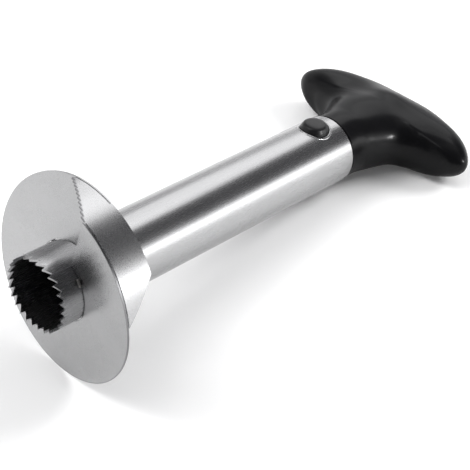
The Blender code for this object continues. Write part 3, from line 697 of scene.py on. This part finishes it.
# T grip. One black satin moulding: a round neck, with a fine groove where it meets the tube, that
# spreads into two tapering arms with a soft crest between them. Two screws pull it onto the plug.
GRIP_NECK_RADIUS = 0.01575
GRIP_WAIST_RADIUS = 0.0155
GRIP_HALF_SPAN = 0.05066
GRIP_HEIGHT = 0.06298
GRIP_HALF_DEPTH = 0.0119
GRIP_ARM_SQUARENESS = 4.6
GRIP_BACK_SQUARENESS = 2.2
GRIP_WIDTH_SHARES = (0.330, 0.448, 0.692, 0.905, 1.0, 0.892, 0.690, 0.485, 0.250)
GRIP_HEIGHT_SHARES = (0.224, 0.440, 0.528, 0.568, 0.664, 0.784, 0.856, 0.918, 0.976)
GRIP_WAIST_SHARE = 0.128
GRIP_NECK_END_SHARE = 0.10
GRIP_ARM_START_SHARE = 0.65
GRIP_CLOSE_SHARE = 0.70
GRIP_FOOT = TUBE_LENGTH + SEAM_GAP
# The crest: its height and reach to each side, and the shares of the grip's height where it starts, is
# full, starts to fade and ends
GRIP_CREST_HEIGHT = 0.0034
GRIP_CREST_REACH = 0.0115
GRIP_CREST_SHARES = (0.20, 0.55, 0.66, 0.92)
# The arms' rounded top front edges: the share of the depth that goes, the share of the height where
# this starts to fade and over how much it does, and the shares of the arm where it starts and is full
GRIP_ROUND_DROP = 0.34
GRIP_ROUND_FRONT = 0.50
GRIP_ROUND_REACH = 0.26
GRIP_ROUND_START = 0.22
GRIP_ROUND_FULL = 0.72
# Smoothing that takes the ripples out of the loft above its foot
GRIP_SMOOTH_ROUNDS = 40
GRIP_SMOOTH_FACTORS = (0.5, -0.51)
GRIP_SMOOTH_FOOT = 0.002
# The groove at the seam and the rounded edge above it
GRIP_GROOVE_DEPTH = 0.0008
GRIP_GROOVE_WIDTH = 0.0007
GRIP_EDGE_RADIUS = 0.0004
GRIP_EDGE_STEPS = 5
GRIP_SLICES = 180
GRIP_STEPS = 160
MOULDING_CREASE_ANGLE = radians(40)
GRIP_SHINE = 0.06
GRIP_COAT = 0.16
GRIP_COAT_ROUGHNESS = 0.17
GRIP_DARK = (0.0030, 0.0030, 0.0035, 1)
GRIP_LIGHT = (0.0050, 0.0050, 0.0058, 1)
GRIP_FINE_SCALE = 1400.0
GRIP_FINE_DEPTH = 0.000008
GRIP_BROAD_SCALE = 60.0
GRIP_ROUGHNESS_LEVELS = (0.30, 0.06, 0.04)


def clamp(value):
    return min(max(value, 0), 1)


def eased(share):
    """0 to 1 with a soft start and end."""
    return clamp(share) ** 2 * (3 - 2 * clamp(share))


def smooth_path(points, count):
    """Evenly stepped points of a smooth curve through the given ones, flat across its end."""
    points = [Vector(point) for point in points]
    points = [2 * points[0] - points[1]] + points + [Vector((-points[-2].x, points[-2].y))]
    spans = len(points) - 3
    path = []
    for number in range(count):
        place = spans * number / (count - 1)
        span = min(int(place), spans - 1)
        t = place - span
        a, b, c, d = points[span:span + 4]
        bend = (2 * a - 5 * b + 4 * c - d) * t ** 2 + (3 * b - a - 3 * c + d) * t ** 3
        path.append((2 * b + (c - a) * t + bend) / 2)
    return path


def grip_section(half_width, height):
    """One slice across the tube's axis: a circle at the neck, a squarer oval through the arms."""
    rise = height / GRIP_HEIGHT
    arm_share = eased((rise - GRIP_NECK_END_SHARE) / (GRIP_ARM_START_SHARE - GRIP_NECK_END_SHARE))
    close_share = clamp((rise - GRIP_CLOSE_SHARE) / (1 - GRIP_CLOSE_SHARE))
    half_depth = mix(GRIP_NECK_RADIUS, GRIP_HALF_DEPTH, arm_share)
    half_depth *= sqrt(1 - close_share ** GRIP_BACK_SQUARENESS)
    power = mix(2, GRIP_ARM_SQUARENESS, arm_share)
    start, full, fading, end = GRIP_CREST_SHARES
    crest = GRIP_CREST_HEIGHT * eased((rise - start) / (full - start)) * eased((end - rise) / (end - fading))
    section = []
    for number in range(GRIP_STEPS):
        angle = 2 * pi * number / GRIP_STEPS
        across = half_width * cos(angle)
        depth = half_depth * sqrt(max(1 - abs(cos(angle)) ** power, 0))
        if angle < pi:
            out_share = abs(across) / GRIP_HALF_SPAN
            left = 1 - clamp((rise - GRIP_ROUND_FRONT) / GRIP_ROUND_REACH)
            on_arm = eased((out_share - GRIP_ROUND_START) / (GRIP_ROUND_FULL - GRIP_ROUND_START))
            depth *= 1 - GRIP_ROUND_DROP * left ** 2 * on_arm
            depth += crest * sin(angle) * exp(-(across / GRIP_CREST_REACH) ** 2)
        section.append((depth if angle < pi else -depth, across, GRIP_FOOT + height))
    return section


def lofted(sections, finish, smooth_angle, last=None, softened=()):
    """A closed mesh over rings of points, with a flat end or a pole, laid into the tool's place. The
    softened rings, given by number, lose their ripples without shrinking."""
    bm = bmesh.new()
    rings = [[bm.verts.new(point) for point in section] for section in sections]
    count = len(rings[0])
    for ring, after in zip(rings, rings[1:]):
        for i in range(count):
            j = (i + 1) % count
            bm.faces.new((ring[i], ring[j], after[j], after[i]))
    bm.faces.new(rings[0])
    if last:
        pole = bm.verts.new(last)
        for i in range(count):
            bm.faces.new((rings[-1][i], rings[-1][(i + 1) % count], pole))
    else:
        bm.faces.new(rings[-1])
    bmesh.ops.recalc_face_normals(bm, faces=bm.faces[:])
    free = [vert for number in softened for vert in rings[number]]
    for factor in GRIP_SMOOTH_FACTORS * (GRIP_SMOOTH_ROUNDS if free else 0):
        bmesh.ops.smooth_vert(bm, verts=free, factor=factor,
                              use_axis_x=True, use_axis_y=True, use_axis_z=True)
    mesh = bpy.data.meshes.new("loft")
    bm.to_mesh(mesh)
    bm.free()
    mesh.transform(TOOL)
    mesh.materials.append(finish.material)
    mesh.shade_smooth()
    mesh.set_sharp_from_angle(angle=smooth_angle)
    return mesh


grip_finish = Finish("black_satin_plastic", Specular_IOR_Level=GRIP_SHINE, Coat_Weight=GRIP_COAT,
                     Coat_Roughness=GRIP_COAT_ROUGHNESS)
place = grip_finish.place()
fine = grip_finish.noise(place, GRIP_FINE_SCALE)
broad = grip_finish.noise(place, GRIP_BROAD_SCALE)
grip_finish.feed_surface(
    Base_Color=grip_finish.shade(broad, GRIP_DARK, GRIP_LIGHT),
    Roughness=raised(GRIP_ROUGHNESS_LEVELS, fine, broad),
    Normal=grip_finish.bump(fine, GRIP_FINE_DEPTH))

profile = [(GRIP_NECK_RADIUS, 0), (GRIP_WAIST_RADIUS, GRIP_HEIGHT * GRIP_WAIST_SHARE)]
for width_share, height_share in zip(GRIP_WIDTH_SHARES, GRIP_HEIGHT_SHARES):
    profile.append((GRIP_HALF_SPAN * width_share, GRIP_HEIGHT * height_share))
profile = smooth_path(profile + [(0, GRIP_HEIGHT)], GRIP_SLICES)
foot = [(GRIP_GROOVE_DEPTH, 0), (GRIP_GROOVE_DEPTH, GRIP_GROOVE_WIDTH)]
for number in range(GRIP_EDGE_STEPS + 1):
    turn = pi / 2 * number / GRIP_EDGE_STEPS
    foot.append((GRIP_EDGE_RADIUS * (1 - sin(turn)), GRIP_GROOVE_WIDTH + GRIP_EDGE_RADIUS * (1 - cos(turn))))
slices = []
for inset, lift in foot:
    share = 1 - inset / GRIP_NECK_RADIUS
    slices.append([(x * share, y * share, z + lift) for x, y, z in grip_section(GRIP_NECK_RADIUS, 0)])
foot_top = foot[-1][1]
slices += [grip_section(half_width, height) for half_width, height in profile[:-1] if height > foot_top]
soft = [number for number, ring in enumerate(slices) if ring[0][2] > GRIP_FOOT + GRIP_SMOOTH_FOOT]
grip_mesh = lofted(slices, grip_finish, MOULDING_CREASE_ANGLE, (0, 0, GRIP_FOOT + GRIP_HEIGHT), soft)
add_piece("t_grip", grip_mesh, "slicer", "grip_plastic", "handle_grip")


# Plug and end cap. A dark moulded plug closes the tube's end and holds the buttons; a round cap lies
# under its screws' heads. They show only through the bore.
PLUG_DARK = (0.040, 0.040, 0.045, 1)
PLUG_LIGHT = (0.060, 0.060, 0.066, 1)
PLUG_FINE_SCALE = 1500.0
PLUG_FINE_DEPTH = 0.00002
PLUG_FLOW_SCALE = 90.0
PLUG_FLOW_STRETCH = (1.0, 0.4, 1.0)
PLUG_ROUGHNESS_LEVELS = (0.42, 0.14)

plug_finish = Finish("dark_moulded_plastic")
place = plug_finish.place()
fine = plug_finish.noise(place, PLUG_FINE_SCALE)
flow = plug_finish.noise(plug_finish.stretched(place, PLUG_FLOW_STRETCH), PLUG_FLOW_SCALE)
plug_finish.feed_surface(
    Base_Color=plug_finish.shade(flow, PLUG_DARK, PLUG_LIGHT),
    Roughness=raised(PLUG_ROUGHNESS_LEVELS, fine),
    Normal=plug_finish.bump(fine, PLUG_FINE_DEPTH))
for name in ("handle_plug", "plug_end_cap"):
    frame["nodes"][name].material_slots[0].material = plug_finish.material


# Plug screws. Two zinc-plated pan-head tapping screws with a cross recess, driven through the end cap
# and the plug into the grip.
SCREW_OFFSET = 0.0102
SCREW_HEAD_FOOT = 0.1424
SCREW_UNDER_HEAD = 0.1442
SCREW_TIP = 0.1998
SCREW_HEAD_RADIUS = 0.0028
SCREW_DOME = 0.0011
SCREW_CORE_RADIUS = 0.0011
SCREW_THREAD_RADIUS = 0.0015
SCREW_PITCH = 0.0014
SCREW_POINT = 0.0036
SCREW_PLAIN = 0.0020
SCREW_SUNK = 0.0004
SCREW_DOME_SHARE = 0.7
SCREW_SIDE_SHARE = 0.1
RECESS_SPAN = 0.0032
RECESS_WIDTH = 0.0007
RECESS_DEPTH = 0.0011
SCREW_TURNS = (radians(20), radians(65))
SCREW_STEPS = 33
SCREW_ROWS = 401
SCREW_HEAD_STEPS = 49
SCREW_HEAD_ROWS = 31
SCREW_CREASE_ANGLE = radians(40)
ZINC_DARK = (0.44, 0.44, 0.46, 1)
ZINC_LIGHT = (0.58, 0.58, 0.60, 1)
ZINC_SPANGLE_SCALE = 900.0
ZINC_SPANGLE_DETAIL = 3.0
ZINC_SPANGLE_DEPTH = 0.000004
ZINC_DULLING_SCALE = 180.0
ZINC_ROUGHNESS_LEVELS = (0.28, 0.16)

zinc_finish = Finish("zinc_plate", Metallic=1.0)
place = zinc_finish.place()
spangle = zinc_finish.noise(place, ZINC_SPANGLE_SCALE, ZINC_SPANGLE_DETAIL)
dulling = zinc_finish.noise(place, ZINC_DULLING_SCALE)
zinc_finish.feed_surface(
    Base_Color=zinc_finish.shade(dulling, ZINC_DARK, ZINC_LIGHT),
    Roughness=raised(ZINC_ROUGHNESS_LEVELS, spangle),
    Normal=zinc_finish.bump(spangle, ZINC_SPANGLE_DEPTH))

screws = Shape("plug_screws")
head_radius = screws.size("Head radius", SCREW_HEAD_RADIUS)
dome = screws.size("Dome", SCREW_DOME)
core = screws.size("Core radius", SCREW_CORE_RADIUS)
crest = screws.size("Thread radius", SCREW_THREAD_RADIUS)
pitch = screws.size("Pitch", SCREW_PITCH)
point = screws.size("Point", SCREW_POINT)

sheet, around, along = screws.grid(SCREW_HEAD_STEPS, SCREW_HEAD_ROWS)
bend = (along / SCREW_DOME_SHARE).math("MINIMUM", 1.0) * (pi / 2)
down = ((along - SCREW_DOME_SHARE) / SCREW_SIDE_SHARE).math("MAXIMUM", 0.0).math("MINIMUM", 1.0)
back_start = SCREW_DOME_SHARE + SCREW_SIDE_SHARE
back = ((along - back_start) / (1 - back_start)).math("MAXIMUM", 0.0)
reach = head_radius * bend.math("SINE") * (1 - back)
side_height = SCREW_UNDER_HEAD - SCREW_HEAD_FOOT - dome
height = SCREW_HEAD_FOOT + dome * (1 - bend.math("COSINE")) + down * side_height
head = screws.merged(screws.moved(sheet, screws.round_place(reach, around * (2 * pi), height)))
for slot_size in ((RECESS_SPAN, RECESS_WIDTH), (RECESS_WIDTH, RECESS_SPAN)):
    bit = screws.node("GeometryNodeMeshCube", None, {"Size": slot_size + (2 * RECESS_DEPTH,)})
    bit = screws.node("GeometryNodeTransform", None, {
        "Geometry": bit, "Translation": (0, 0, SCREW_HEAD_FOOT)})
    head = screws.node("GeometryNodeMeshBoolean", {"operation": "DIFFERENCE", "solver": "EXACT"},
                       {"Mesh 1": head, "Mesh 2": bit})

sheet, around, along = screws.grid(SCREW_STEPS, SCREW_ROWS)
height = SCREW_UNDER_HEAD - SCREW_SUNK + along * (SCREW_TIP - SCREW_UNDER_HEAD + SCREW_SUNK)
flank = ((height / pitch - around).math("FRACT") * 2 - 1).math("ABSOLUTE")
cut_in = ((height - SCREW_UNDER_HEAD - SCREW_PLAIN) / pitch).math("MAXIMUM", 0.0).math("MINIMUM", 1.0)
narrowed = ((SCREW_TIP - height) / point).math("MAXIMUM", 0.0).math("MINIMUM", 1.0)
ends = along.math("GREATER_THAN", 0.5 / SCREW_ROWS)
reach = (core + (crest - core) * flank * flank * cut_in) * narrowed * ends
shank = screws.merged(screws.moved(sheet, screws.round_place(reach, around * (2 * pi), height)))
driven = []
for side, turn in zip((-1, 1), SCREW_TURNS):
    driven.append(screws.node("GeometryNodeTransform", None, {
        "Geometry": screws.joined(head, shank), "Rotation": (0, 0, turn),
        "Translation": (0, side * SCREW_OFFSET, 0)}))
add_piece("plug_screws", screws.finished(screws.joined(*driven), zinc_finish, SCREW_CREASE_ANGLE), "slicer",
          "screw_steel", "plug_screw_left", "plug_screw_right")


# Release buttons. Two black mouldings with a slightly domed crown, pushed out through the tube's
# holes by the spring between them; a flange behind the wall holds them in.
BUTTON_RADIUS = 0.0066
BUTTON_PROUD = 0.0028
BUTTON_CROWN_POINTS = ((0.0026, 0.00012), (0.0045, 0.00045), (0.0054, 0.0010), (0.0059, 0.0018),
                       (0.0064, 0.0027))
BUTTON_FLANGE_RADIUS = 0.0076
BUTTON_FLANGE_HEIGHT = 0.0116
BUTTON_FLANGE_THICKNESS = 0.0020
BUTTON_STEM_RADIUS = 0.0025
BUTTON_STEM_FOOT = 0.0066
BUTTON_STEPS = 96
BUTTON_CROWN_RINGS = 24
BUTTON_SHINE = 0.32
BUTTON_DARK = (0.006, 0.006, 0.007, 1)
BUTTON_LIGHT = (0.010, 0.010, 0.011, 1)
BUTTON_FINE_SCALE = 1800.0
BUTTON_FINE_DEPTH = 0.000012
BUTTON_ROUGHNESS_LEVELS = (0.30, 0.10)

button_finish = Finish("black_button_plastic", Specular_IOR_Level=BUTTON_SHINE)
place = button_finish.place()
fine = button_finish.noise(place, BUTTON_FINE_SCALE)
button_finish.feed_surface(
    Base_Color=button_finish.shade(fine, BUTTON_DARK, BUTTON_LIGHT),
    Roughness=raised(BUTTON_ROUGHNESS_LEVELS, fine),
    Normal=button_finish.bump(fine, BUTTON_FINE_DEPTH))

crown = TUBE_RADIUS + BUTTON_PROUD
flange_foot = BUTTON_FLANGE_HEIGHT - BUTTON_FLANGE_THICKNESS
outline = [(radius, crown - drop) for radius, drop in BUTTON_CROWN_POINTS[::-1]] + [(0, crown)]
outline = smooth_path(outline, BUTTON_CROWN_RINGS)[-2::-1]
outline += [(BUTTON_RADIUS, BUTTON_FLANGE_HEIGHT), (BUTTON_FLANGE_RADIUS, BUTTON_FLANGE_HEIGHT),
            (BUTTON_FLANGE_RADIUS, flange_foot), (BUTTON_STEM_RADIUS, flange_foot),
            (BUTTON_STEM_RADIUS, BUTTON_STEM_FOOT)]
for side, name in ((1, "upper"), (-1, "lower")):
    turns = [2 * pi * number / BUTTON_STEPS for number in range(BUTTON_STEPS)]
    rings = [[(side * height, radius * sin(turn), BUTTON_HEIGHT + radius * cos(turn)) for turn in turns]
             for radius, height in outline]
    mesh = lofted(rings[::-1], button_finish, MOULDING_CREASE_ANGLE, (side * crown, 0, BUTTON_HEIGHT))
    add_piece("button_" + name, mesh, name + "_button", "button_plastic", "release_button_" + name)


# Button spring. One coil of zinc-plated wire with closed ends between the two buttons' flanges,
# made as two halves.
SPRING_RADIUS = 0.0032
SPRING_WIRE_RADIUS = 0.0004
SPRING_HALF_LENGTH = 0.0089
SPRING_HALF_TURNS = 3.5
SPRING_CLOSED_SHARE = 0.24
SPRING_WIRE_STEPS = 13
SPRING_COIL_STEPS = 141

for side, name in ((1, "upper"), (-1, "lower")):
    coil = Shape("button_spring_" + name)
    coil_radius = coil.size("Coil radius", SPRING_RADIUS)
    wire = coil.size("Wire radius", SPRING_WIRE_RADIUS)
    turns = coil.size("Turns", SPRING_HALF_TURNS)
    sheet, around, along = coil.grid(SPRING_WIRE_STEPS, SPRING_COIL_STEPS)
    bend = around * (2 * pi)
    turn = along * turns * (side * 2 * pi)
    half_step = 0.5 / SPRING_COIL_STEPS
    ends = along.math("GREATER_THAN", half_step) * along.math("LESS_THAN", 1 - half_step)
    rise = (along / (1 - SPRING_CLOSED_SHARE)).math("MINIMUM", 1.0)
    closing = ((along - 1 + SPRING_CLOSED_SHARE) / SPRING_CLOSED_SHARE).math("MAXIMUM", 0.0)
    # The open turns end three wire radii short, which leaves room for the closed turn and the wire itself
    reach = coil_radius + wire * ends * bend.math("COSINE")
    height = rise * (SPRING_HALF_LENGTH - wire * 3) + closing * wire * 2 + wire * ends * bend.math("SINE")
    wound = coil.merged(coil.moved(sheet, coil.vector(
        height * side, reach * turn.math("SINE"), reach * turn.math("COSINE") + BUTTON_HEIGHT)))
    half = add_piece("button_spring_" + name, coil.finished(wound, zinc_finish, ROUND_CREASE_ANGLE), "slicer",
                     "screw_steel", "button_spring")
    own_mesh(half)
